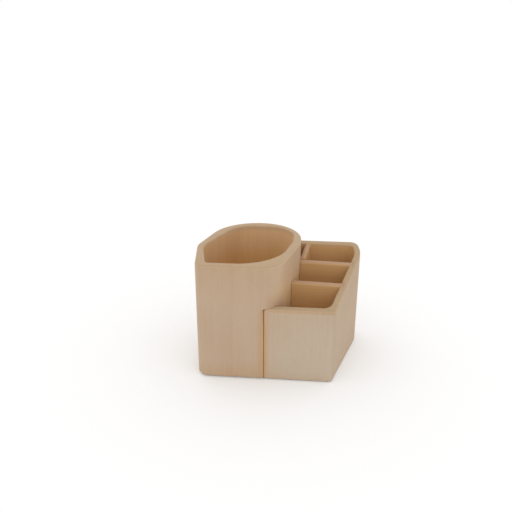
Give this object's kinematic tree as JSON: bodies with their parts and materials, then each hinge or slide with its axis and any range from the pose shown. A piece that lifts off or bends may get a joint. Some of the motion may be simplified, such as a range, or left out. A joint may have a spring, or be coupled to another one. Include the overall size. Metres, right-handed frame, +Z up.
{
  "type": "tool storage caddy",
  "caption": "Desk caddy for hand tools: a tall leaf-shaped cup with a lower box of bays scribed to its flank, with drop-in dividers and a rim that rises to the back.",
  "frame": {"origin": "middle of the footprint, on the desk", "axes": "+X to the right along the front, +Y to the back, +Z up"},
  "size_m": [0.1502, 0.113, 0.11],
  "materials": {
    "wood_cup": "fine pale tan wood, sanded, thin matt oil",
    "wood_box": "fine pale tan wood, sanded, thin matt oil",
    "wood_divider": "fine pale tan wood, sanded, thin matt oil",
    "wood_base": "fine pale tan wood, sanded",
    "screw": "zinc-plated steel",
    "pad": "soft non-slip rubber"
  },
  "bodies": {
    "caddy": {"tool_cup": "wood_cup", "cup_base": "wood_base", "bay_walls": "wood_box", "bay_base": "wood_base", "bay_inner_side": "wood_box", "joining_screws": "screw", "cup_pads": "pad", "bay_pads": "pad"},
    "front_divider": {"front_divider": "wood_divider"},
    "rear_divider": {"rear_divider": "wood_divider"}
  },
  "joints": [
    {"name": "front_divider_lift", "type": "slide", "parent": "caddy", "child": "front_divider", "axis": [0, 0, 1], "range_m": [0, 0.08]},
    {"name": "rear_divider_lift", "type": "slide", "parent": "caddy", "child": "rear_divider", "axis": [0, 0, 1], "range_m": [0, 0.09]}
  ]
}
